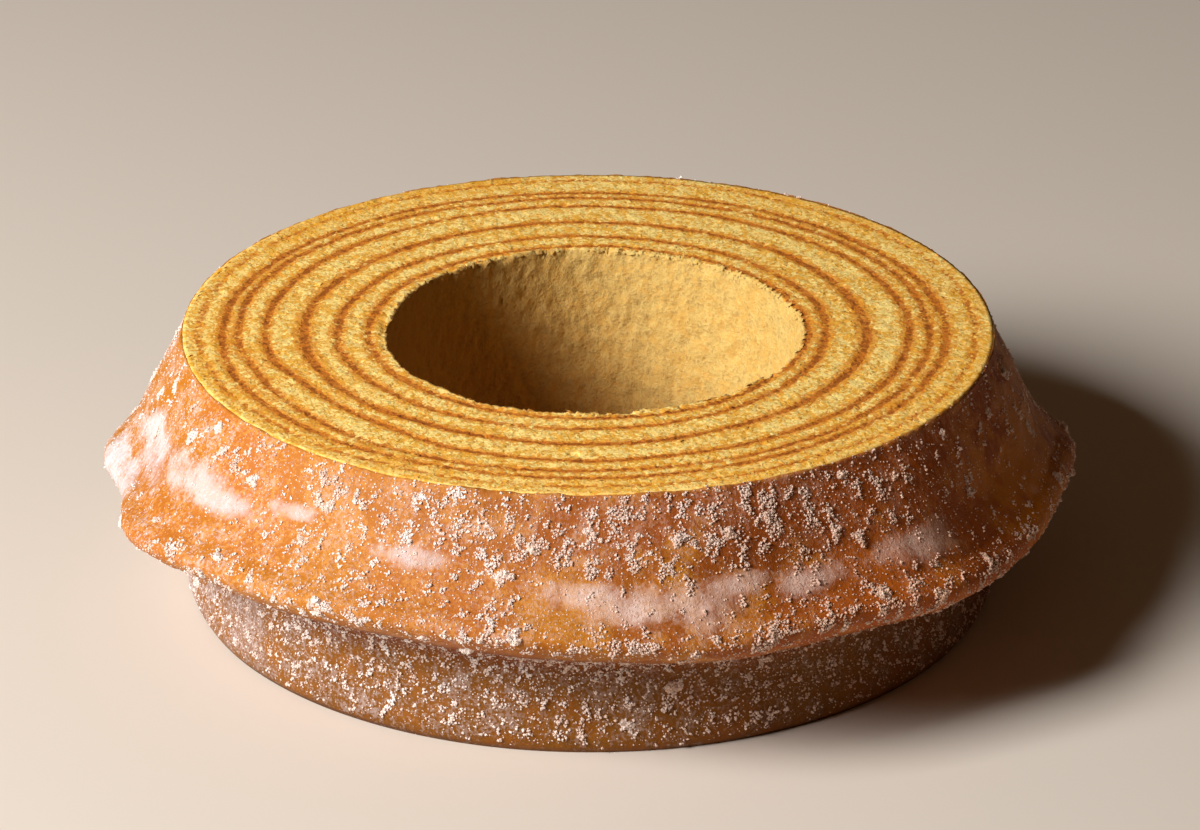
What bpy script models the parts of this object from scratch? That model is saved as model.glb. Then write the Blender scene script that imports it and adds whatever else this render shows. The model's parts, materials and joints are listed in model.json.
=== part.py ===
# Ring of baumkuchen, cut flat at both ends, with one swollen ridge round its side and coarse sugar on the crust.
# Metres, +Z up. The ring stands on its lower cut face, and the photograph's viewer stands at -Y.
import math
import random

import bmesh
import bpy
from mathutils import Matrix, Vector

# Driving dimensions of the ring
CUT_RADIUS = 0.0645  # outer radius of both cut faces
HEIGHT = 0.0427
CUT_CENTRE_Y = 0.0025  # the cut faces sit behind the middle of the ring, because the ridge bulges at the front
HOLE_RADIUS = 0.0328
HOLE_CENTRE = (0.0008, -0.0027)  # from the centre of the cut faces
HOLE_WAVE = 0.00035  # how far the hole's wall wanders in and out
HOLE_WAVES = ((3, 2.0, 1.0), (7, -4.0, 0.6))  # waves round the hole, their shift over its height, their strength
SEGMENTS = 72  # sections round the ring

# Crest of the ridge: azimuth in degrees from +X, then its radius and its height in millimetres
CREST = (
    (0, 78.0, 19.5),
    (15, 73.5, 19.0),
    (35, 75.5, 19.0),
    (65, 75.5, 19.5),
    (90, 75.0, 20.0),
    (120, 75.5, 20.5),
    (145, 76.0, 21.0),
    (160, 76.5, 21.0),
    (172, 75.0, 20.5),
    (184, 78.5, 20.5),
    (196, 76.5, 21.0),
    (210, 80.5, 23.0),
    (225, 79.0, 24.5),
    (240, 79.0, 25.5),
    (255, 79.5, 25.0),
    (270, 79.5, 24.5),
    (285, 81.0, 23.5),
    (300, 78.5, 23.5),
    (315, 80.5, 22.0),
    (330, 77.5, 20.0),
    (345, 77.0, 20.5),
)

# Section of the side: level from the floor (-1) through the crest (0) to the upper edge (1),
# then the share of the ridge's reach at that level
SIDE = (
    (-1.0, 0.03),
    (-0.9, 0.06),
    (-0.75, 0.02),
    (-0.55, -0.03),
    (-0.42, -0.01),
    (-0.33, 0.15),
    (-0.24, 0.42),
    (-0.15, 0.70),
    (-0.07, 0.87),
    (0.0, 0.97),
    (0.1, 0.96),
    (0.2, 0.76),
    (0.4, 0.50),
    (0.6, 0.34),
    (0.8, 0.17),
    (1.0, 0.0),
)
FOOT_LEVEL = -0.96  # level where the rounding under the lower edge begins
FOOT_INSET = 0.0004  # how far the rounding takes the lower edge in
DENT_DEPTH = 0.0004  # soft dents and swells of the whole side
DENTS = ((5, 1.1, 2.3), (11, 0.0, -3.1))  # waves round the side, their start, and their shift over one level
LEAN = 0.0004  # how far the side's foot stands over towards +X

# Browned skins between the baked layers: centre from the centre of the cut face, radius, width and depth
# of the shallow groove that each leaves in the upper cut face
RINGS = (
    ((0.0, -0.0007), 0.0610, 0.0010, 0.00025),
    ((-0.0008, -0.0016), 0.0567, 0.0024, 0.00035),
    ((0.0, -0.0014), 0.0511, 0.0014, 0.00045),
    ((-0.0004, -0.0021), 0.0445, 0.0012, 0.00045),
    ((-0.0009, -0.0026), 0.0387, 0.0011, 0.00045),
    ((0.0, -0.0028), 0.0347, 0.0008, 0.00035),
)
BORE_LEVELS = (0.8, 0.55, 0.3)  # shares of the height where the hole's wall has a row of points

# Patches of bare glaze on the side: azimuth and level of the middle, then half the angle and half the levels covered
GLAZE = (
    (190, 0.12, 8, 0.16),
    (196, 0.42, 10, 0.20),
    (211, 0.52, 9, 0.14),
    (219, 0.46, 7, 0.09),
    (231, 0.56, 4, 0.07),
    (249, 0.46, 5, 0.08),
    (269, 0.34, 6, 0.09),
    (279, 0.28, 8, 0.13),
    (288, 0.38, 5, 0.08),
    (296, 0.30, 5, 0.08),
    (313, 0.36, 6, 0.11),
    (22, 0.35, 9, 0.14),
    (62, 0.30, 10, 0.13),
    (105, 0.42, 12, 0.15),
    (150, 0.30, 10, 0.14),
)

# Coarse sugar stuck to the side, in bands: lowest and highest level, and number of clumps
SUGAR_BANDS = (
    (0.30, 0.90, 72),
    (-0.02, 0.16, 36),
    (-0.88, -0.42, 28),
    (-0.30, -0.10, 14),
)
SUGAR_LARGEST = 0.0022  # half the width of the widest clump
SUGAR_SMALLEST = 0.0014
SUGAR_FLATNESS = 0.62  # height of a clump over its width
SUGAR_SUNK = 0.2  # share of its half width that a clump's middle lies under the crust
SUGAR_SPACING = 0.0038  # least distance between the middles of two clumps
SUGAR_LUMPINESS = 0.22
SUGAR_TRIES = 80  # places tried for a clump before the last one is taken
SUGAR_PLACE_SEED = 41
SUGAR_SHAPE_SEED = 7


def add_material(name, colour, roughness):
    material = bpy.data.materials.new(name)
    material.use_nodes = True
    shader = material.node_tree.nodes["Principled BSDF"]
    shader.inputs["Base Color"].default_value = (*colour, 1.0)
    shader.inputs["Roughness"].default_value = roughness
    shader.inputs["Metallic"].default_value = 0.0
    return material


def smooth_between(before, start, end, after, share):
    """Catmull-Rom curve through four values, read between the middle two."""
    bend = 2 * before - 5 * start + 4 * end - after
    twist = 3 * (start - end) + after - before
    return start + 0.5 * share * ((end - before) + share * (bend + share * twist))


def crest_at(azimuth):
    """Radius and height of the ridge's crest, in metres."""
    azimuth %= 360
    last = len(CREST) - 1
    index = max(i for i in range(len(CREST)) if CREST[i][0] <= azimuth)
    start = CREST[index][0]
    end = CREST[index + 1][0] if index < last else 360
    share = (azimuth - start) / (end - start)
    around = [CREST[(index + step) % len(CREST)] for step in (-1, 0, 1, 2)]
    radius = smooth_between(*(station[1] for station in around), share)
    height = smooth_between(*(station[2] for station in around), share)
    return radius / 1000, height / 1000


def reach_at(level):
    """Share of the ridge's reach at a level of the side."""
    last = len(SIDE) - 2
    index = min(last, max(i for i in range(len(SIDE)) if SIDE[i][0] <= level))
    share = (level - SIDE[index][0]) / (SIDE[index + 1][0] - SIDE[index][0])
    around = [SIDE[min(max(index + step, 0), last + 1)][1] for step in (-1, 0, 1, 2)]
    return smooth_between(*around, share)


def side_point(azimuth, level):
    """Point of the side at an azimuth in degrees and a level from -1 to 1."""
    crest_radius, crest_height = crest_at(azimuth)
    angle = math.radians(azimuth)
    if level > 0:
        height = crest_height + level * (HEIGHT - crest_height)
    else:
        height = crest_height * (1 + level)
    radius = CUT_RADIUS + reach_at(level) * (crest_radius - CUT_RADIUS)
    swell = sum(math.sin(waves * angle + start + shift * level) for waves, start, shift in DENTS)
    radius += DENT_DEPTH * swell * (1 - level * level)
    lean = LEAN * (1 - height / HEIGHT)
    return Vector((lean + radius * math.cos(angle), CUT_CENTRE_Y + radius * math.sin(angle), height))


def side_normal(azimuth, level):
    """Direction straight out of the side."""
    turn, rise = 1.0, 0.02
    along = side_point(azimuth + turn, level) - side_point(azimuth - turn, level)
    up = side_point(azimuth, level + rise) - side_point(azimuth, level - rise)
    return along.cross(up).normalized()


def circle_reach(angle, centre, radius):
    """Distance from the centre of the cut face to an off-centre circle, along a direction."""
    ahead = centre[0] * math.cos(angle) + centre[1] * math.sin(angle)
    aside = centre[0] * math.sin(angle) - centre[1] * math.cos(angle)
    return ahead + math.sqrt(radius * radius - aside * aside)


def hole_radius(angle, share):
    """Distance from the centre of the cut face to the hole's wall, at a share of the height."""
    wave = sum(strength * math.sin(waves * angle + shift * share) for waves, shift, strength in HOLE_WAVES)
    return circle_reach(angle, HOLE_CENTRE, HOLE_RADIUS) + HOLE_WAVE * wave


def section(azimuth):
    """Closed outline of the ring at one azimuth: up the side, in over the cut face, down the hole, out below."""
    angle = math.radians(azimuth)
    ahead = Vector((math.cos(angle), math.sin(angle), 0))
    centre = Vector((0, CUT_CENTRE_Y, 0))
    foot = side_point(azimuth, SIDE[0][0])
    side = [foot - ahead * FOOT_INSET, side_point(azimuth, FOOT_LEVEL)]
    side += [side_point(azimuth, level) for level, _ in SIDE[1:]]
    face = []
    for ring_centre, radius, width, depth in RINGS:
        middle = circle_reach(angle, ring_centre, radius)
        for offset, sunk in ((width / 2, 0), (0, depth), (-width / 2, 0)):
            face.append(centre + ahead * (middle + offset) + Vector((0, 0, HEIGHT - sunk)))
    hole = []
    for share in (1.0, *BORE_LEVELS, 0.0):
        hole.append(centre + ahead * hole_radius(angle, share) + Vector((0, 0, HEIGHT * share)))
    return side, face, hole


def build_ring():
    """The bare ring, lofted through its sections, which all differ."""
    form = bmesh.new()
    loops = []
    for i in range(SEGMENTS):
        side, face, hole = section(360 * i / SEGMENTS)
        loops.append([form.verts.new(point) for point in side + face + hole])
    side_rows = len(side) - 1
    for i in range(SEGMENTS):
        here, there = loops[i], loops[(i + 1) % SEGMENTS]
        for row in range(len(here)):
            after = (row + 1) % len(here)
            panel = form.faces.new((here[row], there[row], there[after], here[after]))
            panel.material_index = 0 if row < side_rows else 1
            panel.smooth = True
    bmesh.ops.triangulate(form, faces=form.faces[:])
    mesh = bpy.data.meshes.new("cake")
    form.to_mesh(mesh)
    form.free()
    return mesh


def build_clump(rng, half_width):
    """One lumpy, flattened clump of sugar with twenty faces."""
    form = bmesh.new()
    bmesh.ops.create_icosphere(form, subdivisions=1, radius=half_width)
    for point in form.verts:
        point.co *= 1 + rng.uniform(-SUGAR_LUMPINESS, SUGAR_LUMPINESS)
        point.co.z *= SUGAR_FLATNESS
    mesh = bpy.data.meshes.new("sugar clump")
    form.to_mesh(mesh)
    form.free()
    return mesh


def is_glazed(azimuth, level):
    """Whether a spot of the side lies in one of the patches of bare glaze."""
    for middle, middle_level, half_angle, half_levels in GLAZE:
        aside = (azimuth - middle + 180) % 360 - 180
        if (aside / half_angle) ** 2 + ((level - middle_level) / half_levels) ** 2 < 1:
            return True
    return False


def sugar_spots():
    """Azimuth, level and half width of each clump: the widest first, clear of the others and of the glaze."""
    rng = random.Random(SUGAR_PLACE_SEED)
    spots = []
    middles = []
    for lowest, highest, count in SUGAR_BANDS:
        for index in range(count):
            half_width = SUGAR_LARGEST + (SUGAR_SMALLEST - SUGAR_LARGEST) * index / count
            for _ in range(SUGAR_TRIES):
                azimuth = rng.uniform(0, 360)
                level = rng.uniform(lowest, highest)
                middle = side_point(azimuth, level)
                clear = all((middle - other).length > SUGAR_SPACING for other in middles)
                if clear and not is_glazed(azimuth, level):
                    break
            spots.append((azimuth, level, half_width))
            middles.append(middle)
    return spots


def scatter_sugar(collection, material):
    """A clump at each spot, lying on the crust with its foot sunk in."""
    rng = random.Random(SUGAR_SHAPE_SEED)
    for azimuth, level, half_width in sugar_spots():
        normal = side_normal(azimuth, level)
        clump = bpy.data.objects.new("sugar clump", build_clump(rng, half_width))
        clump.data.materials.append(material)
        turn = Matrix.Rotation(rng.uniform(0, 2 * math.pi), 4, "Z")
        middle = Matrix.Translation(side_point(azimuth, level) - normal * half_width * SUGAR_SUNK)
        clump.matrix_world = middle @ normal.to_track_quat("Z", "Y").to_matrix().to_4x4() @ turn
        collection.objects.link(clump)


def fuse(ring, collection):
    """Joins the clumps to the ring, and removes their own objects."""
    union = ring.modifiers.new("Fuse sugar", "BOOLEAN")
    union.operation = "UNION"
    union.operand_type = "COLLECTION"
    union.collection = collection
    union.solver = "EXACT"
    graph = bpy.context.evaluated_depsgraph_get()
    fused = bpy.data.meshes.new_from_object(ring.evaluated_get(graph))
    ring.modifiers.remove(union)
    ring.data = fused
    for clump in list(collection.objects):
        bpy.data.objects.remove(clump)
    bpy.data.collections.remove(collection)


def main():
    for old in list(bpy.data.objects):
        bpy.data.objects.remove(old)
    scene = bpy.context.scene
    parts = bpy.data.collections.new("baumkuchen")
    clumps = bpy.data.collections.new("sugar clumps")
    scene.collection.children.link(parts)
    scene.collection.children.link(clumps)
    crust = add_material("browned crust", (0.62, 0.27, 0.08), 0.55)
    crumb = add_material("golden crumb", (0.80, 0.52, 0.17), 0.85)
    sugar = add_material("coarse sugar", (0.88, 0.82, 0.77), 0.45)
    mesh = build_ring()
    for material in (crust, crumb, sugar):
        mesh.materials.append(material)
    cake = bpy.data.objects.new("cake", mesh)
    parts.objects.link(cake)
    scatter_sugar(clumps, sugar)
    bpy.context.view_layer.update()
    fuse(cake, clumps)


main()
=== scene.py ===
import json
import math
import random

import bmesh
import bpy
import numpy as np
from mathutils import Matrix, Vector

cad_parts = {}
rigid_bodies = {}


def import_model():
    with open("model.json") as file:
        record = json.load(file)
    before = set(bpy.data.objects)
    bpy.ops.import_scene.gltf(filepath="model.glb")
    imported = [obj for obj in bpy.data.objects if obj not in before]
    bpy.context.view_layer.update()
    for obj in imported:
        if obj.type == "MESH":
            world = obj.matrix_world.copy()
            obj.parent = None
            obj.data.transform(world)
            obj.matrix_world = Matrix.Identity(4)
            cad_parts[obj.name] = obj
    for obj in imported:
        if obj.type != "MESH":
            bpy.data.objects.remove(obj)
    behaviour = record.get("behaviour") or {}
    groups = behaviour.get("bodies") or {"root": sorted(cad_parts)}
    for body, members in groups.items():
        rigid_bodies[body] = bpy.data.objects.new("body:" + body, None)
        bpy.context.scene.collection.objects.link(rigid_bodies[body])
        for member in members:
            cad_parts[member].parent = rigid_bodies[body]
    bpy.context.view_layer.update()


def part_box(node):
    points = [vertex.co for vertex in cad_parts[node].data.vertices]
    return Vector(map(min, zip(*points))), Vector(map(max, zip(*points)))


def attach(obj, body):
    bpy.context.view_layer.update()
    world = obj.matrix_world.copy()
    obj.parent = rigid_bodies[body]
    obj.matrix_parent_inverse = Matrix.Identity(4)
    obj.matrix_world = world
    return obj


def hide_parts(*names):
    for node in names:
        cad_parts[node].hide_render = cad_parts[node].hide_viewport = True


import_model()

# The ring as the frame holds it, in metres
ringForm = {
    "cutRadius": 0.0645,
    "height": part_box("cake")[1].z,
    "centre": (0.0, 0.0025),  # of both cut faces
    "holeRadius": 0.0328,
    "holeCentre": (0.0008, -0.0027),  # from the centre of the cut faces
    "holeWave": 0.00035,
    "holeWaves": ((3, 2.0, 1.0), (7, -4.0, 0.6)),  # waves round, shift over the height, strength
    "dentDepth": 0.0004,
    "dents": ((5, 1.1, 2.3), (11, 0.0, -3.1)),  # waves round, start, shift over one level
    "lean": 0.0004,
    "footLevel": -0.96,
    "footInset": 0.0004,
}

# Crest of the ridge: azimuth in degrees from +X, radius and height in millimetres
crest = (
    (0, 78.0, 19.5),
    (15, 73.5, 19.0),
    (35, 75.5, 19.0),
    (65, 75.5, 19.5),
    (90, 75.0, 20.0),
    (120, 75.5, 20.5),
    (145, 76.0, 21.0),
    (160, 76.5, 21.0),
    (172, 75.0, 20.5),
    (184, 78.5, 20.5),
    (196, 76.5, 21.0),
    (210, 80.5, 23.0),
    (225, 79.0, 24.5),
    (240, 79.0, 25.5),
    (255, 79.5, 25.0),
    (270, 79.5, 24.5),
    (285, 81.0, 23.5),
    (300, 78.5, 23.5),
    (315, 80.5, 22.0),
    (330, 77.5, 20.0),
    (345, 77.0, 20.5),
)

# Section of the side: level from the floor (-1) over the crest (0) to the upper edge (1),
# then the share of the ridge's reach
side = (
    (-1.0, 0.03),
    (-0.9, 0.06),
    (-0.75, 0.02),
    (-0.55, -0.03),
    (-0.42, -0.01),
    (-0.33, 0.15),
    (-0.24, 0.42),
    (-0.15, 0.70),
    (-0.07, 0.87),
    (0.0, 0.97),
    (0.1, 0.96),
    (0.2, 0.76),
    (0.4, 0.50),
    (0.6, 0.34),
    (0.8, 0.17),
    (1.0, 0.0),
)

# Patches of bare glaze: azimuth and level of the middle, half the angle, half the levels
glazePatches = (
    (190, 0.12, 8, 0.16),
    (196, 0.42, 10, 0.20),
    (211, 0.52, 9, 0.14),
    (219, 0.46, 7, 0.09),
    (231, 0.56, 4, 0.07),
    (249, 0.46, 5, 0.08),
    (269, 0.34, 6, 0.09),
    (279, 0.28, 8, 0.13),
    (288, 0.38, 5, 0.08),
    (296, 0.30, 5, 0.08),
    (313, 0.36, 6, 0.11),
    (22, 0.35, 9, 0.14),
    (62, 0.30, 10, 0.13),
    (105, 0.42, 12, 0.15),
    (150, 0.30, 10, 0.14),
)

# Orange crust between the patches, given in the same way
bareSpots = (
    (211, 0.08, 10, 0.20),
    (300, 0.08, 5, 0.08),
)

rightFront = (0.80, -0.60, 0.0)  # towards the side the key light leaves in shade: crust, glaze and sugar get painted shade there, and the crust is also browner


def tone(red, green, blue):  # a paint colour from 0 to 255 as the renderer's linear colour
    shares = [value / 255 for value in (red, green, blue)]
    return tuple(s / 12.92 if s <= 0.04045 else ((s + 0.055) / 1.055) ** 2.4 for s in shares) + (1.0,)


# Smooth curve through stations. With a turn it goes round, otherwise its ends are held.
def curveThrough(stations, values, at, turn=None):
    stations, values = np.array(stations, float), np.array(values, float)
    last = len(stations) - 1
    if turn:
        at = at % turn
        index = np.searchsorted(stations, at, side="right") - 1
        end = np.append(stations, turn)[index + 1]
        around = [values[(index + step) % (last + 1)] for step in (-1, 0, 1, 2)]
    else:
        index = np.clip(np.searchsorted(stations, at, side="right") - 1, 0, last - 1)
        end = stations[index + 1]
        around = [values[np.clip(index + step, 0, last)] for step in (-1, 0, 1, 2)]
    share = (at - stations[index]) / (end - stations[index])
    before, here, there, after = around
    bend = 2 * before - 5 * here + 4 * there - after
    twist = 3 * (here - there) + after - before
    return here + 0.5 * share * (there - before + share * (bend + share * twist))


def sidePoint(azimuth, level):
    azimuth, level = np.broadcast_arrays(np.asarray(azimuth, float), np.asarray(level, float))
    stations, radii, heights = zip(*crest)
    crestRadius = curveThrough(stations, radii, azimuth, 360) / 1000
    crestHeight = curveThrough(stations, heights, azimuth, 360) / 1000
    above = crestHeight + level * (ringForm["height"] - crestHeight)
    height = np.where(level > 0, above, crestHeight * (1 + level))
    reach = curveThrough(*zip(*side), level)
    radius = ringForm["cutRadius"] + reach * (crestRadius - ringForm["cutRadius"])
    angle = np.radians(azimuth)
    swell = sum(np.sin(waves * angle + start + shift * level) for waves, start, shift in ringForm["dents"])
    radius = radius + ringForm["dentDepth"] * swell * (1 - level * level)
    lean = ringForm["lean"] * (1 - height / ringForm["height"])
    across = ringForm["centre"][0] + lean + radius * np.cos(angle)
    back = ringForm["centre"][1] + radius * np.sin(angle)
    return np.stack((across, back, height), -1)


def sideNormal(azimuth, level):
    turn, rise = 1.0, 0.02
    along = sidePoint(azimuth + turn, level) - sidePoint(azimuth - turn, level)
    up = sidePoint(azimuth, level + rise) - sidePoint(azimuth, level - rise)
    out = np.cross(along, up)
    return out / np.linalg.norm(out, axis=-1, keepdims=True)


def circleReach(angle, centre, radius):
    ahead = centre[0] * np.cos(angle) + centre[1] * np.sin(angle)
    aside = centre[0] * np.sin(angle) - centre[1] * np.cos(angle)
    return ahead + np.sqrt(radius * radius - aside * aside)


def flatPoint(angle, reach, height):
    across = ringForm["centre"][0] + reach * np.cos(angle)
    back = ringForm["centre"][1] + reach * np.sin(angle)
    return np.stack((across, back, np.full_like(across, height)), -1)


def holePoint(angle, share):
    waves = ringForm["holeWaves"]
    wave = sum(strength * np.sin(count * angle + shift * share) for count, shift, strength in waves)
    reach = circleReach(angle, ringForm["holeCentre"], ringForm["holeRadius"]) + ringForm["holeWave"] * wave
    return flatPoint(angle, reach, ringForm["height"] * share)


# Distance from the middle of a patch, 1 at its edge
def fromPatch(patch, azimuth, level):
    middle, middleLevel, halfAngle, halfLevels = patch
    aside = (azimuth - middle + 180) % 360 - 180
    return np.sqrt((aside / halfAngle) ** 2 + ((level - middleLevel) / halfLevels) ** 2)


# How far a spot lies in the patches: 1 in the middle of one, fading out past its edge
def withinPatches(patches, azimuth, level):
    return np.max([np.clip(1.5 - fromPatch(patch, azimuth, level), 0, 1) for patch in patches], axis=0)


# A wire carries one socket of a node tree. Expressions on wires add Math nodes.
class Wire:
    def __init__(self, graph, socket):
        self.graph = graph
        self.socket = socket

    def out(self, name):
        return Wire(self.graph, self.socket.node.outputs[name])

    def __add__(self, other):
        return self.graph.math("ADD", self, other)

    def __sub__(self, other):
        return self.graph.math("SUBTRACT", self, other)

    def __rsub__(self, other):
        return self.graph.math("SUBTRACT", other, self)

    def __mul__(self, other):
        return self.graph.math("MULTIPLY", self, other)

    def __truediv__(self, other):
        return self.graph.math("DIVIDE", self, other)

    def __rtruediv__(self, other):
        return self.graph.math("DIVIDE", other, self)

    __radd__ = __add__


class Graph:
    def __init__(self, tree):
        self.tree = tree

    def add(self, kind, settings=None, inputs=None, out=0):
        node = self.tree.nodes.new(kind)
        for name, value in (settings or {}).items():
            setattr(node, name, value)
        for name, value in (inputs or {}).items():
            if isinstance(value, Wire):
                self.tree.links.new(value.socket, node.inputs[name])
            else:
                node.inputs[name].default_value = value
        return Wire(self, node.outputs[out]) if len(node.outputs) else None

    def math(self, operation, *values):
        return self.add("ShaderNodeMath", {"operation": operation}, dict(enumerate(values)))

    def vector(self, operation, *values):
        out = 1 if operation in ("LENGTH", "DOT_PRODUCT") else 0
        return self.add("ShaderNodeVectorMath", {"operation": operation}, dict(enumerate(values)), out)

    def scaled(self, direction, amount):
        return self.add("ShaderNodeVectorMath", {"operation": "SCALE"}, {0: direction, "Scale": amount})

    def levelDistance(self, place, middle):  # from an upright axis
        flat = self.vector("MULTIPLY", place, (1.0, 1.0, 0.0))
        return self.vector("LENGTH", self.vector("SUBTRACT", flat, (*middle, 0.0)))

    def mix(self, share, low, high):  # colours
        return self.add("ShaderNodeMix", {"data_type": "RGBA"}, {0: share, 6: low, 7: high}, 2)

    def rise(self, value, low, high):  # 0 below low, 1 above high, smooth between them
        values = {"Value": value, "From Min": low, "From Max": high}
        return self.add("ShaderNodeMapRange", {"interpolation_type": "SMOOTHSTEP"}, values)

    def noise(self, place, size, detail, roughness, seed):
        values = {"Vector": place, "W": seed, "Scale": 1 / size, "Detail": detail, "Roughness": roughness}
        return self.add("ShaderNodeTexNoise", {"noise_dimensions": "4D"}, values)


denseScatter = 9000000.0  # points for a square metre, before the spacing thins them out


# A Geometry Nodes tree with named sizes
class Recipe(Graph):
    def __init__(self, name, sizes):
        super().__init__(bpy.data.node_groups.new(name, "GeometryNodeTree"))
        sockets = self.tree.interface
        sockets.new_socket("Geometry", in_out="INPUT", socket_type="NodeSocketGeometry")
        sockets.new_socket("Geometry", in_out="OUTPUT", socket_type="NodeSocketGeometry")
        self.sizes = sizes
        self.keys = {}
        for label, value in sizes.items():
            kind = "NodeSocketInt" if isinstance(value, int) else "NodeSocketFloat"
            self.keys[label] = sockets.new_socket(label, in_out="INPUT", socket_type=kind).identifier
        self.entry = self.tree.nodes.new("NodeGroupInput")

    def given(self, label):
        return Wire(self, self.entry.outputs[label])

    def mark(self, name, kind="FLOAT"):
        return self.add("GeometryNodeInputNamedAttribute", {"data_type": kind}, {"Name": name})

    def shift(self, geometry, offset):
        return self.add("GeometryNodeSetPosition", None, {"Geometry": geometry, "Offset": offset})

    def swell(self, geometry, lift):  # moves each point along its normal
        return self.shift(geometry, self.scaled(self.add("GeometryNodeInputNormal"), lift))

    def scatter(self, mesh, seed, share=1.0):  # points no nearer than the spacing, thinned out by the share
        spread = {"Mesh": mesh, "Distance Min": self.given("Spacing"), "Density Max": denseScatter}
        spread |= {"Density Factor": share, "Seed": seed}
        return self.add("GeometryNodeDistributePointsOnFaces", {"distribute_method": "POISSON"}, spread)

    def anyTurn(self, low, high):
        limits = {0: low, 1: high, 8: self.given("Seed")}
        return self.add("FunctionNodeRandomValue", {"data_type": "FLOAT_VECTOR"}, limits)

    def anySize(self, low, high):
        limits = {2: low, 3: high, 8: self.given("Seed")}
        return self.add("FunctionNodeRandomValue", {"data_type": "FLOAT"}, limits, 1)

    def crystalsOn(self, points, kinds, turned, size):
        picked = {"Collection": kinds, "Separate Children": True, "Reset Children": True}
        put = {"Points": points, "Instance": self.add("GeometryNodeCollectionInfo", None, picked)}
        put |= {"Pick Instance": True, "Rotation": turned, "Scale": size}
        return self.add("GeometryNodeInstanceOnPoints", None, put)

    def join(self, *parts):
        both = self.add("GeometryNodeJoinGeometry")
        for part in parts:
            self.tree.links.new(part.socket, both.socket.node.inputs[0])
        return both

    def make(self, piece, geometry, material):
        geometry = self.add("GeometryNodeRealizeInstances", None, {"Geometry": geometry})
        geometry = self.add("GeometryNodeSetMaterial", None, {"Geometry": geometry, "Material": material})
        self.add("NodeGroupOutput", None, {"Geometry": geometry})
        modifier = piece.modifiers.new(self.tree.name, "NODES")
        modifier.node_group = self.tree
        for label, value in self.sizes.items():
            modifier[self.keys[label]] = value
        bpy.context.view_layer.update()
        evaluated = piece.evaluated_get(bpy.context.evaluated_depsgraph_get())
        mesh = bpy.data.meshes.new_from_object(evaluated)
        piece.modifiers.clear()
        piece.data = mesh
        print(piece.name, "made with", len(mesh.polygons), "faces")


# A material, its patterns in object coordinates
class Paint(Graph):
    def __init__(self, name, roughness, specular):
        self.material = bpy.data.materials.new(name)
        self.material.use_nodes = True
        super().__init__(self.material.node_tree)
        self.shader = self.tree.nodes["Principled BSDF"]
        self.fix("Roughness", roughness)
        self.fix("Specular IOR Level", specular)
        self.place = self.add("ShaderNodeTexCoord", out="Object")

    def fix(self, name, value):
        self.shader.inputs[name].default_value = value

    def feed(self, name, value):
        self.tree.links.new(value.socket, self.shader.inputs[name])

    def mark(self, name, out="Fac"):
        return self.add("ShaderNodeAttribute", {"attribute_name": name}, out=out)

    def letLightIn(self, weight, radius, depth):
        self.fix("Subsurface Weight", weight)
        self.fix("Subsurface Radius", radius)
        self.fix("Subsurface Scale", depth)

    def bump(self, strength, depth, height):
        values = {"Strength": strength, "Distance": depth, "Height": height}
        self.feed("Normal", self.add("ShaderNodeBump", None, values))


def addPiece(name, data):
    piece = bpy.data.objects.new(name, data)
    bpy.context.scene.collection.objects.link(piece)
    return piece


def setMark(mesh, name, values, isVector):
    kind, field = ("FLOAT_VECTOR", "vector") if isVector else ("FLOAT", "value")
    mesh.attributes.new(name, kind, "POINT").data.foreach_set(field, values.astype(np.float32).ravel())


# Rows run round the section and the last joins the first. Marks are named values for each point.
def loftRing(name, rows, marks):
    grid = np.array(rows)
    index = np.arange(grid.shape[0] * grid.shape[1]).reshape(grid.shape[:2])
    aside = np.roll(index, -1, 1)
    corners = (index, aside, np.roll(aside, -1, 0), np.roll(index, -1, 0))
    mesh = bpy.data.meshes.new(name)
    mesh.from_pydata(grid.reshape(-1, 3).tolist(), [], np.stack(corners, -1).reshape(-1, 4).tolist())
    for mark, values in marks.items():
        setMark(mesh, mark, values, values.ndim == 3)
    mesh.shade_smooth()
    return addPiece(name, mesh)


# Browned skins between the layers, seen on the cut face. Each has its centre from the middle of the cut,
# its radius, width and strength, and a bend: azimuth, half angle and shift of the radius.
layerLines = {
    "rim": dict(centre=(0.0, 0.0), radius=0.0617, width=0.0010, strength=0.5),
    "outerOne": dict(centre=(-0.0006, -0.0014), radius=0.0574, width=0.0013, strength=0.9),
    "outerTwo": dict(centre=(-0.0006, -0.0014), radius=0.0550, width=0.0013, strength=0.85,
                     bend=(212, 24, -0.0010)),
    "fourth": dict(centre=(0.0, -0.0014), radius=0.0511, width=0.0013, strength=0.95,
                   bend=(222, 26, -0.0020)),
    "third": dict(centre=(-0.0004, -0.0021), radius=0.0445, width=0.0015, strength=1.0),
    "second": dict(centre=(-0.0009, -0.0026), radius=0.0387, width=0.0013, strength=0.85),
    "first": dict(centre=(0.0, -0.0028), radius=0.0347, width=0.0013, strength=0.85),
}
lineWander = {
    "size": 0.014,
    "amount": 0.0014,
    "fineSize": 0.0013,
    "fineAmount": 0.0008,
    "fadeSize": 0.008,
    "broader": 0.35,  # on the left and the right
}


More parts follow.
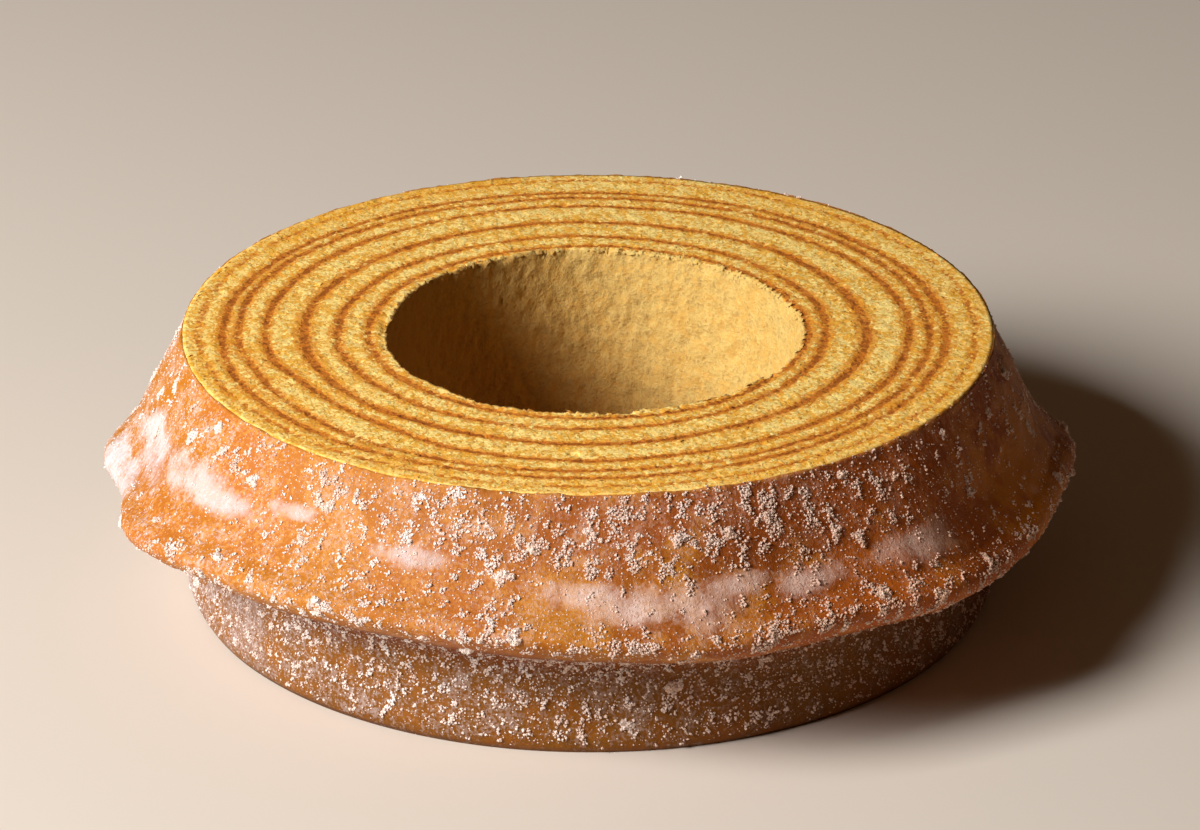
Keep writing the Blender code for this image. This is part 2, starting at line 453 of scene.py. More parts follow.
# Returns how brown each spot of the cut face is, and how near it lies to a browned skin
def layerMarks(graph, place):
    flat = graph.vector("MULTIPLY", place, (1.0, 1.0, 0.0))
    fromMiddle = graph.vector("SUBTRACT", flat, (*ringForm["centre"], 0.0))
    toward = graph.vector("NORMALIZE", fromMiddle)
    sideways = graph.vector("DOT_PRODUCT", toward, (1.0, 0.0, 0.0))
    broaden = sideways * sideways * lineWander["broader"] + 0.9
    fine = graph.noise(flat, lineWander["fineSize"], 3.0, 0.65, 7.0) - 0.5
    fading = graph.rise(graph.noise(flat, lineWander["fadeSize"], 2.0, 0.5, 11.0), 0.3, 0.62)
    brown, near = 0.0, 0.0
    for number, line in enumerate(layerLines.values()):
        offset = graph.vector("SUBTRACT", fromMiddle, (*line["centre"], 0.0))
        radius = graph.vector("LENGTH", offset)
        wander = graph.noise(flat, lineWander["size"], 1.0, 0.5, 2.0 + 3.1 * number) - 0.5
        away = radius - line["radius"] + wander * lineWander["amount"] + fine * lineWander["fineAmount"]
        if "bend" in line:
            azimuth, halfAngle, shift = line["bend"]
            angle = math.radians(azimuth)
            facing = graph.vector("DOT_PRODUCT", toward, (math.cos(angle), math.sin(angle), 0.0))
            away = away - graph.rise(facing, math.cos(math.radians(halfAngle)), 1.0) * shift
        away = graph.math("ABSOLUTE", away) / broaden
        strength = (fading * 0.35 + 0.65) * line["strength"]
        width = line["width"]
        core = (1 - graph.rise(away, 0.1 * width, 0.7 * width)) * strength
        halo = (1 - graph.rise(away, 0.25 * width, 1.5 * width)) * strength
        brown = graph.math("MAXIMUM", brown, core)
        near = graph.math("MAXIMUM", near, halo)
    return brown, near


# Sponge: the crumb, cut flat above, with the hole's wall and the underside
sponge = {
    "sections": 720,
    "faceRows": 56,
    "wallRows": 62,
    "underCrust": 0.0004,  # how far its side lies in under the crust
    "edgeLevels": (0.9, 0.96),  # of further rows on its side, near the upper edge
    "underRows": (0.3, 0.7),  # of the way from the hole to the foot
    "rimInset": 0.0002,  # how far inside the crust's edge the cut face ends
    "raggedRim": (0.0003, 0.0013),  # distances from the hole's edge between which the bites fade out
    "mostLift": 0.00025,  # how far the crumb may stand out
    "cream": tone(255, 218, 128),
    "gold": tone(232, 166, 60),
    "wall": tone(212, 178, 104),
    "wallBrown": tone(128, 68, 14),
    "orange": tone(220, 136, 36),
    "deepGold": tone(234, 158, 30),
    "brown": tone(188, 102, 28),
    "darkBrown": tone(124, 58, 16),
    "poreBrown": tone(196, 112, 26),
}
spongeGrain = {  # sizes of its patterns
    "broad": 0.016,
    "middle": 0.0028,
    "fine": 0.0006,
    "granule": 0.0007,
    "clot": 0.0013,
    "pore": 0.0010,
    "deepPore": 0.0022,
}
spongeSizes = {
    "Line Depth": 0.00012,
    "Crumb Depth": 0.00026,
    "Crumb Size": 0.0012,
    "Wall Depth": 0.0005,
    "Wall Size": 0.0026,
    "Pore Depth": 0.0004,
    "Bite Depth": 0.0005,
    "Bite Size": 0.0026,
    "Seed": 3,
}


def spongeMaterial():
    paint = Paint("goldenCrumb", 0.85, 0.15)
    paint.letLightIn(0.3, (1.0, 0.8, 0.6), 0.0005)
    place = paint.place
    face = paint.mark("face")
    brown, near = layerMarks(paint, place)
    broad = paint.noise(place, spongeGrain["broad"], 2.0, 0.5, 1.0)
    middle = paint.noise(place, spongeGrain["middle"], 3.0, 0.6, 5.0)
    grain = paint.noise(place, spongeGrain["fine"], 3.0, 0.65, 9.0)
    cells = {"Vector": place, "Scale": 1 / spongeGrain["granule"]}
    granules = paint.add("ShaderNodeTexVoronoi", {"feature": "F1"}, cells)
    # three chances for each granule
    pick = paint.add("ShaderNodeSeparateColor", None, {"Color": granules.out("Color")})
    clots = paint.noise(place, spongeGrain["clot"], 2.0, 0.6, 6.0)
    mottle = grain * 0.8 + clots * 0.4 - 0.1 + (middle - 0.5) * 0.6 + (pick.out("Blue") - 0.5) * 0.2
    colour = paint.mix(paint.rise(mottle, 0.38, 0.60), sponge["gold"], sponge["cream"])
    outer = paint.rise(paint.levelDistance(place, ringForm["centre"]), 0.057, 0.062)
    colour = paint.mix(outer * paint.rise(broad, 0.35, 0.65) * 0.6, colour, sponge["deepGold"])
    loose = (grain - 0.5) * 0.6 + (clots - 0.5) * 0.9
    tinged = paint.rise(near + loose - pick.out("Green") * 0.7, -0.05, 0.25)
    colour = paint.mix(tinged * face * 0.8, colour, sponge["orange"])
    speckled = paint.rise(brown * 1.3 + loose - pick.out("Red") * 0.8, 0.02, 0.34)
    colour = paint.mix(speckled * face * 0.8, colour, sponge["brown"])
    darkSpecks = paint.rise(brown + loose * 0.7 - pick.out("Green"), 0.3, 0.5)
    colour = paint.mix(darkSpecks * face * 0.6, colour, sponge["darkBrown"])
    pores = paint.rise(paint.noise(place, spongeGrain["pore"], 2.0, 0.6, 21.0), 0.60, 0.68)
    colour = paint.mix(pores * 0.55, colour, sponge["poreBrown"])
    wall = 1 - face
    colour = paint.mix(wall * (paint.rise(middle, 0.3, 0.7) * 0.2 + 0.6), colour, sponge["wall"])
    # painted shadow: the wall is darker brown low down on its left, where the rim's shadow falls
    lowLeft = paint.vector("DOT_PRODUCT", place, (-0.9, 0.0, -0.8))
    paintedShadow = paint.rise(lowLeft + (middle - 0.5) * 0.012, -0.044, 0.0)
    colour = paint.mix(wall * paintedShadow * 0.72, colour, sponge["wallBrown"])
    wallSpecks = paint.rise(grain + (clots - 0.5) * 0.5, 0.5, 0.66)
    colour = paint.mix(wall * wallSpecks * 0.35, colour, sponge["wallBrown"])
    paint.feed("Base Color", colour)
    height = grain * 0.3 + middle * 0.5 - pores * 0.3 - granules * 0.25 + wall * (clots * 1.3 + grain * 1.8)
    paint.bump(0.35, 0.0005, height)
    return paint.material


def makeSponge(material):
    angles = np.arange(sponge["sections"]) / sponge["sections"] * 2 * math.pi
    azimuths = np.degrees(angles)
    sideLevels = [level for level, share in side[1:-1]] + list(sponge["edgeLevels"])
    rows, onFace, showing = [], [], []

    def addRow(points, face, shown):
        rows.append(points)
        onFace.append(np.full(len(angles), face))
        showing.append(np.full(len(angles), shown))

    def underCrust(level):
        return sidePoint(azimuths, level) - sideNormal(azimuths, level) * sponge["underCrust"]

    addRow(underCrust(-1.0) * (1, 1, 0), 0.0, 0.0)
    for level in sideLevels:
        addRow(underCrust(level), 0.0, 0.0)
    rim = ringForm["cutRadius"] - sponge["rimInset"]
    holeReach = np.linalg.norm(holePoint(angles, 1.0)[:, :2] - ringForm["centre"], axis=1)
    for share in np.linspace(0, 1, sponge["faceRows"], endpoint=False):
        reach = rim + (holeReach - rim) * share
        addRow(flatPoint(angles, reach, ringForm["height"]), 1.0, min(1.0, share * 20 + 0.3))
    for share in np.linspace(1, 0, sponge["wallRows"]):
        addRow(holePoint(angles, share), 0.0, min(1.0, share * 12))
    footReach = np.linalg.norm(rows[0][:, :2] - ringForm["centre"], axis=1)
    wallReach = np.linalg.norm(rows[-1][:, :2] - ringForm["centre"], axis=1)
    for share in sponge["underRows"]:
        addRow(flatPoint(angles, wallReach + (footReach - wallReach) * share, 0.0), 0.0, 0.0)
    piece = loftRing("sponge", rows, {"face": np.array(onFace), "showing": np.array(showing)})

    recipe = Recipe("Crumb relief", spongeSizes)
    place = recipe.add("GeometryNodeInputPosition")
    face, shown = recipe.mark("face"), recipe.mark("showing")
    seed = recipe.given("Seed")
    brown = layerMarks(recipe, place)[0]
    crumb = recipe.noise(place, recipe.given("Crumb Size"), 1.0, 0.6, seed) - 0.5
    wall = recipe.noise(place, recipe.given("Wall Size"), 1.0, 0.5, seed + 5) - 0.5
    pores = recipe.rise(recipe.noise(place, spongeGrain["deepPore"], 2.0, 0.6, seed + 9), 0.66, 0.74)
    lift = crumb * recipe.given("Crumb Depth") * 2.0 - brown * face * recipe.given("Line Depth")
    lift = lift + wall * (1 - face) * recipe.given("Wall Depth") * 2.0 - pores * recipe.given("Pore Depth")
    # the rim of the hole is ragged, where crumbs have come away with the cut
    holeMiddle = [ringForm["centre"][axis] + ringForm["holeCentre"][axis] for axis in (0, 1)]
    fromHole = recipe.levelDistance(place, holeMiddle)
    height = recipe.vector("DOT_PRODUCT", place, (0.0, 0.0, 1.0))
    near, far = sponge["raggedRim"]
    atRim = recipe.rise(fromHole, ringForm["holeRadius"] + far, ringForm["holeRadius"] + near)
    atRim = atRim * recipe.rise(height, ringForm["height"] - far, ringForm["height"] - near)
    bites = recipe.noise(place, recipe.given("Bite Size"), 3.0, 0.65, seed + 13)
    lift = lift - recipe.rise(bites, 0.48, 0.62) * atRim * recipe.given("Bite Depth")
    lift = recipe.math("MINIMUM", lift * shown, sponge["mostLift"])
    recipe.make(piece, recipe.swell(recipe.given("Geometry"), lift), material)
    return piece


# Crumbs: low granules on the cut face and on the rim of the hole
crumbSizes = {
    "Granule": 0.00086,
    "Flatness": 0.15,
    "Spacing": 0.00062,
    "Rim Depth": 0.0010,
    "Raised": -0.04,  # share of the granule, sunk in here
    "Seed": 31,
}


def makeCrumbs(spongePiece, kinds, material):
    piece = addPiece("crumbs", spongePiece.data)
    recipe = Recipe("Crumb granules", crumbSizes)
    place = recipe.add("GeometryNodeInputPosition")
    height = recipe.vector("DOT_PRODUCT", place, (0.0, 0.0, 1.0))
    rim = recipe.given("Rim Depth")
    share = recipe.rise(height, ringForm["height"] - rim, ringForm["height"] - rim * 0.5)
    onFace = recipe.rise(recipe.mark("face"), 0.995, 1.0)
    share = share * recipe.math("MAXIMUM", onFace, recipe.rise(recipe.mark("showing"), 0.31, 0.5))
    fromMiddle = recipe.levelDistance(place, ringForm["centre"])
    edge = ringForm["cutRadius"] - recipe.given("Granule") * 0.5
    share = share * (1 - recipe.rise(fromMiddle, edge - 0.0002, edge))
    points = recipe.scatter(recipe.given("Geometry"), recipe.given("Seed"), share)
    turns = {0: points.out("Rotation"), 1: recipe.anyTurn((-0.1, -0.1, 0.0), (0.1, 0.1, 6.28))}
    turned = recipe.add("FunctionNodeRotateRotation", {"rotation_space": "LOCAL"}, turns)
    lift = recipe.scaled(points.out("Normal"), recipe.given("Granule") * recipe.given("Raised"))
    points = recipe.shift(points, lift)
    size = recipe.anySize(0.6, 1.25) * recipe.given("Granule")
    flat = recipe.add("ShaderNodeCombineXYZ", None, {0: size, 1: size, 2: size * recipe.given("Flatness")})
    recipe.make(piece, recipe.crystalsOn(points, kinds, turned, flat), material)
    return piece


# Crust: a thin browned shell over the side, under glaze and sugar
crust = {
    "rows": 112,
    "innerLevels": (0.99, 0.8, 0.6, 0.4, 0.2, 0.1, 0.0, -0.07, -0.15, -0.24, -0.33, -0.42, -0.55, -0.75,
                    -0.95),
    "thickness": 0.0007,
    "edgeDrop": 0.0005,  # how far its upper edge slopes down under the crumb
    "streakRadius": 0.07,  # of the upright tube on which streaks and clusters are laid out
    "streakStretch": 0.3,
    "deepest": -0.0002,  # so that the sponge doesn't show through a dent
    "orange": tone(180, 102, 32),
    "paleOrange": tone(202, 136, 62),
    "amber": tone(178, 106, 16),
    "oliveGold": tone(172, 104, 6),
    "darkBrown": tone(126, 50, 4),
    "fillAmber": tone(206, 104, 14),
    "footBrown": tone(110, 64, 2),
    "edgeGold": tone(200, 132, 60),
    "glaze": tone(214, 208, 210),
    "glazeInShade": tone(240, 204, 184),
    "frostedBrown": tone(190, 122, 84),
    "frost": tone(204, 186, 182),
}
crustGrain = {  # sizes of its patterns
    "broad": 0.022,
    "middle": 0.0045,
    "grain": 0.0007,
    "streak": 0.0011,
    "fine": 0.0005,
    "glazeEdge": 0.0065,
}
crustSizes = {
    "Lump Height": 0.00035,
    "Lump Size": 0.0042,
    "Grain Height": 0.00016,
    "Grain Size": 0.0011,
    "Glaze Height": 0.0002,
    "Seed": 5,
}

# Coarse sugar on the crust, by band: share of the cover at each level, then round the ring
sugarCover = {
    "sugarUpper": dict(
        levels=((0.08, 0.0), (0.25, 0.45), (0.5, 0.95), (0.88, 1.0), (1.0, 0.6)),
        around=((0, 0.25), (40, 0.6), (80, 0.75), (130, 0.65), (168, 0.35), (195, 0.3), (215, 0.5),
                (235, 0.9), (255, 1.0), (300, 1.0), (312, 0.7), (330, 0.25)),
    ),
    "sugarRidge": dict(
        levels=((-0.34, 0.1), (-0.12, 0.1), (-0.05, 0.5), (0.0, 0.95), (0.1, 1.0), (0.17, 0.5), (0.24, 0.3),
                (0.32, 0.0)),
        around=((0, 0.4), (90, 0.7), (165, 0.45), (205, 0.2), (220, 0.7), (245, 0.9), (270, 1.0), (310, 1.0),
                (330, 0.6)),
    ),
    "sugarFoot": dict(
        levels=((-0.96, 0.0), (-0.93, 0.85), (-0.6, 1.0), (-0.4, 1.0), (-0.3, 0.5), (-0.2, 0.0)),
        around=((0, 0.7), (90, 0.8), (180, 0.6), (200, 0.5), (215, 0.9), (270, 1.0), (330, 0.8)),
    ),
}


def coverAt(band, azimuth, level):
    levels, amounts = zip(*band["levels"])
    azimuths, shares = zip(*band["around"])
    cover = np.interp(level, levels, amounts, left=0.0, right=amounts[-1])
    return cover * np.interp(azimuth, azimuths, shares, period=360)


# Levels that lie evenly along the slope of the side
def evenLevels(lowest, highest, rows):
    tries = np.linspace(lowest, highest, 2000)
    steps = np.linalg.norm(np.diff(sidePoint(250.0, tries), axis=0), axis=1)
    along = np.append(0, np.cumsum(steps))
    distances = np.linspace(0, along[-1], rows)
    return np.interp(distances, along, tries), distances


def crustMaterial():
    paint = Paint("brownedCrust", 0.5, 0.2)
    place = paint.place
    glaze = paint.mark("glaze")
    cover = paint.mark("cover")
    level = paint.mark("level")
    slope = paint.mark("slope", "Vector")
    broad = paint.noise(place, crustGrain["broad"], 2.0, 0.5, 1.0)
    middle = paint.noise(place, crustGrain["middle"], 3.0, 0.6, 3.0)
    grain = paint.noise(place, crustGrain["grain"], 3.0, 0.7, 5.0)
    streaks = paint.noise(slope, crustGrain["streak"], 3.0, 0.65, 8.0)
    fine = paint.noise(place, crustGrain["fine"], 2.0, 0.6, 13.0)
    colour = paint.mix(paint.rise(broad, 0.32, 0.6), crust["orange"], crust["amber"])
    pale = paint.rise(middle + (grain - 0.5) * 2.2, 0.42, 0.68)
    colour = paint.mix(pale * 0.75, colour, crust["paleOrange"])
    frontRight = paint.vector("DOT_PRODUCT", place, rightFront)
    upper = paint.rise(level, 0.35, 0.75)
    # painted shade: the crust darkens towards the front right and its upper slope there, where the light
    # leaves it in shade; partly also a browner crust
    shaded = paint.rise(frontRight + (broad - 0.5) * 0.04 + upper * 0.016, 0.0, 0.085)
    brownedAndShaded = paint.mix(paint.rise(middle + (broad - 0.5), 0.4, 0.62), crust["darkBrown"], crust["oliveGold"])
    colour = paint.mix(shaded * 0.92, colour, brownedAndShaded)
    # painted light: the far right, deep in shade, is lifted to a redder amber as a fill light would
    paintedFill = paint.rise(frontRight + (middle - 0.5) * 0.02, 0.052, 0.076)
    colour = paint.mix(paintedFill * 0.4, colour, crust["fillAmber"])
    # below the crest the crust is darker olive-brown: partly its own colour, partly painted shade under the
    # ridge
    hollow = 1 - paint.rise(level, -0.20, -0.07)
    colour = paint.mix(hollow * (paint.rise(middle, 0.3, 0.6) * 0.3 + 0.6), colour, crust["footBrown"])
    # painted shade: the underside of the ridge is darkened, less so on the lit left
    undercutShade = hollow * paint.rise(level + (middle - 0.5) * 0.2, -0.55, -0.33)
    # the lit left side: frost on the crust is paler and denser there and fades on the shaded right, partly
    # sugar dust and partly painted light and shade
    litLeft = paint.rise(frontRight, 0.0, -0.07)
    colour = paint.mix(undercutShade * (1 - litLeft * 0.6) * 0.6, colour, crust["darkBrown"])
    dusty = paint.rise(fine + (middle - 0.5) * 0.6, 0.35, 0.6) * hollow * litLeft
    colour = paint.mix(dusty * 0.6, colour, crust["frost"])
    streaked = paint.rise(streaks * 0.8 + fine * 0.4 + (middle - 0.5) * 0.4, 0.52, 0.72) * shaded
    streaked = streaked * paint.rise(level, 0.3, 0.8)
    colour = paint.mix(streaked * 0.35, colour, crust["frostedBrown"])
    haze = paint.rise(middle + (broad - 0.5) * 0.8 + (fine - 0.5) * 0.5 + cover * 0.10, 0.46, 0.74) * cover
    haze = haze * (1 - shaded * 0.95) * litLeft * 0.75
    colour = paint.mix(haze, colour, crust["frost"])
    powder = paint.rise(fine * 0.9 + streaks * 0.4 + (middle - 0.5) * 0.4 + cover * 0.06, 0.70, 0.80)
    colour = paint.mix(powder * (1 - shaded * 0.7) * (litLeft * 0.4 + 0.25), colour, crust["frost"])
    edge = paint.noise(place, crustGrain["glazeEdge"], 3.0, 0.6, 17.0)
    frayed = (edge - 0.5) * 1.8 + (middle - 0.5) * 1.6 + (fine - 0.5) * 1.4 + (streaks - 0.5) * 0.8
    film = paint.rise(glaze + frayed, 0.15, 1.3)
    # painted shade: the glaze on the shaded side is tinted warm as bounce light would, the lit glaze stays
    # cool white
    glazeColour = paint.mix(shaded, crust["glaze"], crust["glazeInShade"])
    # the glaze is thin in places, and the crust shows through
    clear = paint.rise(fine + (grain - 0.5) * 0.8 + (middle - 0.5) * 0.8, 0.38, 0.62)
    film = film * (1 - clear * (1 - litLeft) * 0.45)
    colour = paint.mix(film * (litLeft * 0.17 + 0.75), colour, glazeColour)
    brink = paint.rise(level + (middle - 0.5) * 0.10 + (grain - 0.5) * 0.12, 0.965, 1.01)
    colour = paint.mix(brink * 0.6, colour, crust["edgeGold"])
    paint.feed("Base Color", colour)
    paint.feed("Roughness", 0.5 + grain * 0.2 + powder * 0.2)
    height = grain * 0.6 + middle * 0.4 + powder * 0.12 - film * grain * 0.4
    paint.bump(0.6, 0.0005, height)
    return paint.material


def makeCrust(material):
    azimuths = np.arange(sponge["sections"]) / sponge["sections"] * 360
    levels, distances = evenLevels(ringForm["footLevel"], 1.0, crust["rows"])
    angles = np.radians(azimuths)
    outward = np.stack((np.cos(angles), np.sin(angles), np.zeros_like(angles)), -1)
    rows, rowLevels, rowDistances, showing = [], [], [], []

    def addRow(points, level, distance, shown):
        rows.append(points)
        rowLevels.append(level)
        rowDistances.append(distance)
        showing.append(shown)

    addRow(sidePoint(azimuths, -1.0) - outward * ringForm["footInset"], -1.0, 0.0, 0.0)
    for level, distance in zip(levels, distances):
        shown = min(1.0, (1.0 - level) * 12 + 0.7, (level + 1.0) * 8)
        addRow(sidePoint(azimuths, level), level, distance, shown)
    for level in crust["innerLevels"]:
        inner = sidePoint(azimuths, level) - sideNormal(azimuths, level) * crust["thickness"]
        drop = crust["edgeDrop"] if level > 0.9 else 0.0
        addRow(inner - (0, 0, drop), level, 0.0, 0.0)
    shape = (len(rows), len(azimuths))
    around = np.broadcast_to(azimuths, shape)
    level = np.broadcast_to(np.array(rowLevels)[:, None], shape)
    distance = np.broadcast_to(np.array(rowDistances)[:, None], shape)
    turn, tube = np.radians(around), crust["streakRadius"]
    slope = (tube * np.cos(turn), tube * np.sin(turn), distance * crust["streakStretch"])
    glaze = withinPatches(glazePatches, around, level) * (1 - withinPatches(bareSpots, around, level))
    marks = {"glaze": glaze, "level": level, "slope": np.stack(slope, -1)}
    marks["showing"] = np.broadcast_to(np.array(showing)[:, None], shape)
    bare = marks["showing"] * (1 - 0.5 * np.clip(glaze * 1.3, 0, 1))
    for name, band in sugarCover.items():
        marks[name] = coverAt(band, around, level) * bare
    marks["cover"] = sum(marks[name] for name in sugarCover)
    piece = loftRing("crust", rows, marks)

    recipe = Recipe("Crust relief", crustSizes)
    place = recipe.add("GeometryNodeInputPosition")
    seed = recipe.given("Seed")
    lumps = recipe.noise(place, recipe.given("Lump Size"), 2.0, 0.5, seed) - 0.5
    grains = recipe.noise(place, recipe.given("Grain Size"), 3.0, 0.6, seed + 3) - 0.5
    edge = recipe.noise(place, crustGrain["glazeEdge"], 3.0, 0.6, 17.0) - 0.5
    glaze = recipe.rise(recipe.mark("glaze") + edge * 1.5 + lumps * 0.4, 0.25, 1.05)
    lift = lumps * 2.0 * recipe.given("Lump Height") + glaze * recipe.given("Glaze Height")
    lift = lift + grains * 2.0 * recipe.given("Grain Height") * (1 - glaze * 0.8)
    lift = lift * recipe.mark("showing") * (1 + recipe.rise(recipe.mark("level"), 0.93, 1.0))
    lift = recipe.math("MAXIMUM", lift, crust["deepest"])
    recipe.make(piece, recipe.swell(recipe.given("Geometry"), lift), material)
    return piece


# Sugar crystals: small angular lumps, a few kinds, turned every way
crystal = {"kinds": 6, "radius": 0.62, "jitter": 0.2, "seed": 19}


def crystalKinds():
    rng = random.Random(crystal["seed"])
    kinds = bpy.data.collections.new("crystals")
    bpy.context.scene.collection.children.link(kinds)
    for number in range(crystal["kinds"]):
        form = bmesh.new()
        bmesh.ops.create_uvsphere(form, u_segments=4, v_segments=2, radius=crystal["radius"])
        for point in form.verts:
            point.co += Vector([rng.uniform(-crystal["jitter"], crystal["jitter"]) for _ in range(3)])
        mesh = bpy.data.meshes.new("crystal")
        form.to_mesh(mesh)
        form.free()
        kinds.objects.link(bpy.data.objects.new(f"crystal{number}", mesh))
    return kinds


def dropKinds(kinds):
    for shape in list(kinds.objects):
        bpy.data.objects.remove(shape)
    bpy.data.collections.remove(kinds)


sugarLook = {
    "white": tone(250, 236, 228),
    "rose": tone(230, 200, 182),
    "shadeTone": tone(196, 144, 108),
    "broadGrain": 0.003,
    "fineGrain": 0.0005,
}


def sugarMaterial():
    paint = Paint("coarseSugar", 0.45, 0.5)
    paint.letLightIn(0.45, (1.0, 1.0, 1.0), 0.0005)
    place = paint.place
    broad = paint.noise(place, sugarLook["broadGrain"], 2.0, 0.5, 1.0)
    fine = paint.noise(place, sugarLook["fineGrain"], 2.0, 0.6, 3.0)
    share = paint.rise(broad + (fine - 0.5) * 0.5, 0.35, 0.65)
    colour = paint.mix(share, sugarLook["rose"], sugarLook["white"])
    # painted shade: the sugar towards the shaded front right is tinted caramel, as warm bounce light would
    frontRight = paint.vector("DOT_PRODUCT", place, rightFront)
    shadeTint = paint.rise(frontRight + (broad - 0.5) * 0.04, 0.01, 0.08)
    colour = paint.mix(shadeTint * 0.75, colour, sugarLook["shadeTone"])
    paint.feed("Base Color", colour)
    paint.feed("Roughness", 0.3 + fine * 0.4)
    paint.bump(0.4, 0.0002, fine)
    return paint.material


# Grains scattered in clusters on the crust. Each band has its own cluster size, grain size and spacing.
sugarBands = {
    "sugarUpper": {"Cluster Size": 0.0013, "Cluster Fray": 0.58, "Least Cover": 0.630, "Cover Gain": 0.11,
                   "Grain": 0.00036, "Spacing": 0.00020, "Second Layer": 0.04, "Seed": 11},
    "sugarRidge": {"Cluster Size": 0.0013, "Cluster Fray": 0.58, "Least Cover": 0.63, "Cover Gain": 0.12,
                   "Grain": 0.00036, "Spacing": 0.00020, "Second Layer": 0.04, "Seed": 12},
    "sugarFoot": {"Cluster Size": 0.0011, "Cluster Fray": 0.6, "Least Cover": 0.635, "Cover Gain": 0.10,
                  "Grain": 0.0004, "Spacing": 0.00028, "Second Layer": 0.04, "Seed": 13},
}
loneGrains = {"Density": 1800000.0, "Grain": 0.00022, "Seed": 14}


def grainsOn(recipe, points, kinds):
    turned = recipe.anyTurn((0.0, 0.0, 0.0), (6.28, 6.28, 6.28))
    return recipe.crystalsOn(points, kinds, turned, recipe.anySize(0.6, 1.35) * recipe.given("Grain"))


def makeSugarBand(name, crustPiece, kinds, material):
    piece = addPiece(name, crustPiece.data)
    recipe = Recipe(name + " clusters", sugarBands[name])
    along = recipe.vector("MULTIPLY", recipe.mark("slope", "FLOAT_VECTOR"), (1.0, 1.0, 2.0))
    seed = recipe.given("Seed")
    clumps = recipe.noise(along, recipe.given("Cluster Size"), 4.0, recipe.given("Cluster Fray"), seed)
    cover = recipe.mark(name)
    least = recipe.given("Least Cover") - cover * recipe.given("Cover Gain")
    present = recipe.rise(cover, 0.02, 0.2)
    layers = []
    # the second layer lies higher and only on the middle of each cluster
    for height, extra in ((0.08, 0.0), (0.5, 1.0)):
        edge = least + recipe.given("Second Layer") * extra
        share = recipe.rise(clumps, edge, edge + 0.03) * present
        points = recipe.scatter(recipe.given("Geometry"), seed + extra, share)
        lift = recipe.scaled(points.out("Normal"), recipe.given("Grain") * height)
        layers.append(grainsOn(recipe, recipe.shift(points, lift), kinds))
    recipe.make(piece, recipe.join(*layers), material)
    return piece


# Larger lumps of sugar, at the places where the frame holds them
sugarLumps = {
    "bands": ((0.30, 0.90, 72), (-0.02, 0.16, 36), (-0.88, -0.42, 28), (-0.30, -0.10, 14)),
    "largest": 0.0022,  # half the width
    "smallest": 0.0014,
    "flatness": 0.62,
    "sunk": 0.2,
    "spacing": 0.0038,
    "tries": 80,
    "placeSeed": 41,
}
lumpSizes = {
    "Core": 0.76,
    "Knob Height": 0.0017,
    "Knob Size": 0.0016,
    "Grain": 0.00042,
    "Spacing": 0.00031,
    "Seed": 23,
}


def isGlazed(azimuth, level):
    return any(fromPatch(patch, azimuth, level) < 1 for patch in glazePatches)


def lumpSpots():
    rng = random.Random(sugarLumps["placeSeed"])
    spots, middles = [], []
    for lowest, highest, count in sugarLumps["bands"]:
        for number in range(count):
            share = number / count
            halfWidth = sugarLumps["largest"] + (sugarLumps["smallest"] - sugarLumps["largest"]) * share
            for _ in range(sugarLumps["tries"]):
                azimuth = rng.uniform(0, 360)
                level = rng.uniform(lowest, highest)
                middle = sidePoint(azimuth, level)
                clear = all(np.linalg.norm(middle - other) > sugarLumps["spacing"] for other in middles)
                if clear and not isGlazed(azimuth, level):
                    break
            spots.append((azimuth, level, halfWidth))
            middles.append(middle)
    return spots


def makeLumps(kinds, material):
    azimuths, levels, halfWidths = (np.array(values) for values in zip(*lumpSpots()))
    normals = sideNormal(azimuths, levels)
    points = sidePoint(azimuths, levels) - normals * halfWidths[:, None] * sugarLumps["sunk"]
    mesh = bpy.data.meshes.new("sugarLumps")
    mesh.from_pydata(points.tolist(), [], [])
    setMark(mesh, "halfWidth", halfWidths, False)
    setMark(mesh, "out", normals, True)
    piece = addPiece("sugarLumps", mesh)

    recipe = Recipe("Lumps of sugar", lumpSizes)
    seed = recipe.given("Seed")
    out = recipe.mark("out", "FLOAT_VECTOR")
    upright = recipe.add("FunctionNodeAlignRotationToVector", {"axis": "Z"}, {"Vector": out})
    ball = recipe.add("GeometryNodeMeshIcoSphere", None, {"Radius": 1.0, "Subdivisions": 3})
    size = recipe.mark("halfWidth") * recipe.given("Core")
    flat = recipe.scaled((1.0, 1.0, sugarLumps["flatness"]), size)
    put = {"Points": recipe.given("Geometry"), "Instance": ball, "Rotation": upright, "Scale": flat}
    core = recipe.add("GeometryNodeInstanceOnPoints", None, put)
    core = recipe.add("GeometryNodeRealizeInstances", None, {"Geometry": core})
    place = recipe.add("GeometryNodeInputPosition")
    knobs = recipe.noise(place, recipe.given("Knob Size"), 3.0, 0.65, seed)
    core = recipe.swell(core, (knobs - 0.60) * 2.0 * recipe.given("Knob Height"))
    grains = grainsOn(recipe, recipe.scatter(core, seed), kinds)
    recipe.make(piece, recipe.join(core, grains), material)
    return piece


def makeLoneGrains(crustPiece, kinds, material):
    piece = addPiece("sugarGrains", crustPiece.data)
    recipe = Recipe("Lone grains", loneGrains)
    spread = {"Mesh": recipe.given("Geometry"), "Density": recipe.mark("cover") * recipe.given("Density")}
    spread |= {"Seed": recipe.given("Seed")}
    points = recipe.add("GeometryNodeDistributePointsOnFaces", None, spread)
    recipe.make(piece, grainsOn(recipe, points, kinds), material)
    return piece


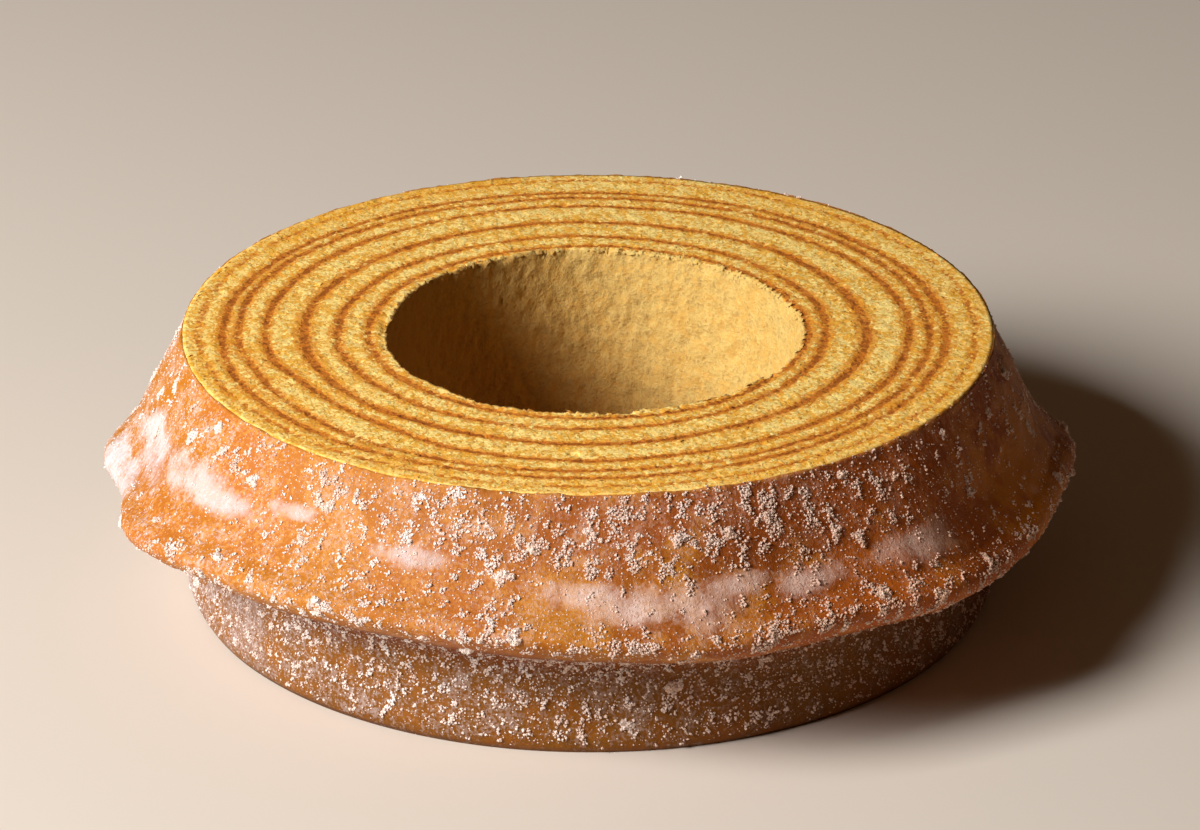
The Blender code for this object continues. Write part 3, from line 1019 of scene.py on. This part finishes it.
# Stage: floor, lights and camera
stage = {
    "floorReach": 6.0,
    "floor": tone(220, 208, 194),
    "keyAzimuth": 212,
    "keyElevation": 34.5,
    "keyDistance": 1.1,
    "keySize": 0.42,
    "keyPower": 19.6,
    "sky": tone(255, 200, 146),
    "skyStrength": 0.05,
    "aim": (0.00194, 0.0025, 0.02632),
    "distance": 0.7095,
    "elevation": 24.321,
    "lens": 132.4,
    "sensor": 36,
}


def towards(azimuth, elevation, distance):
    azimuth, elevation = math.radians(azimuth), math.radians(elevation)
    flat = math.cos(elevation)
    return Vector((flat * math.cos(azimuth), flat * math.sin(azimuth), math.sin(elevation))) * distance


def makeStage():
    reach = stage["floorReach"]
    mesh = bpy.data.meshes.new("floor")
    corners = [(-reach, -reach, 0), (reach, -reach, 0), (reach, reach, 0), (-reach, reach, 0)]
    mesh.from_pydata(corners, [], [(0, 1, 2, 3)])
    floor = addPiece("floor", mesh)
    paint = Paint("paleFloor", 0.7, 0.2)
    paint.fix("Base Color", stage["floor"])
    mesh.materials.append(paint.material)

    world = bpy.data.worlds.new("studio")
    world.use_nodes = True
    sky = world.node_tree.nodes["Background"].inputs
    sky["Color"].default_value = stage["sky"]
    sky["Strength"].default_value = stage["skyStrength"]
    bpy.context.scene.world = world

    lamp = bpy.data.lights.new("key", "AREA")
    lamp.size = stage["keySize"]
    lamp.energy = stage["keyPower"]
    key = addPiece("key", lamp)
    key.location = towards(stage["keyAzimuth"], stage["keyElevation"], stage["keyDistance"])
    key.rotation_euler = (-key.location).to_track_quat("-Z", "Y").to_euler()

    view = bpy.data.cameras.new("photoView")
    view.lens = stage["lens"]
    view.sensor_width = stage["sensor"]
    camera = addPiece("photoView", view)
    away = towards(-90, stage["elevation"], stage["distance"])
    camera.location = Vector(stage["aim"]) + away
    camera.rotation_euler = (-away).to_track_quat("-Z", "Y").to_euler()
    bpy.context.scene.camera = camera
    bpy.context.scene.view_settings.view_transform = "Standard"
    print("stage made, camera at", [round(value, 3) for value in camera.location])


def settle(piece):
    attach(piece, "root")


def main():
    spongePiece = makeSponge(spongeMaterial())
    crustPiece = makeCrust(crustMaterial())
    kinds = crystalKinds()
    sugar = sugarMaterial()
    sugarPieces = [makeSugarBand(name, crustPiece, kinds, sugar) for name in sugarBands]
    lumps = makeLumps(kinds, sugar)
    sugarPieces += [lumps, makeLoneGrains(crustPiece, kinds, sugar)]
    crumbs = makeCrumbs(spongePiece, kinds, spongePiece.data.materials[0])
    dropKinds(kinds)
    settle(spongePiece)
    settle(crumbs)
    settle(crustPiece)
    for piece in sugarPieces:
        settle(piece)
    for piece in (spongePiece, crustPiece, lumps):
        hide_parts("cake")
    makeStage()


main()
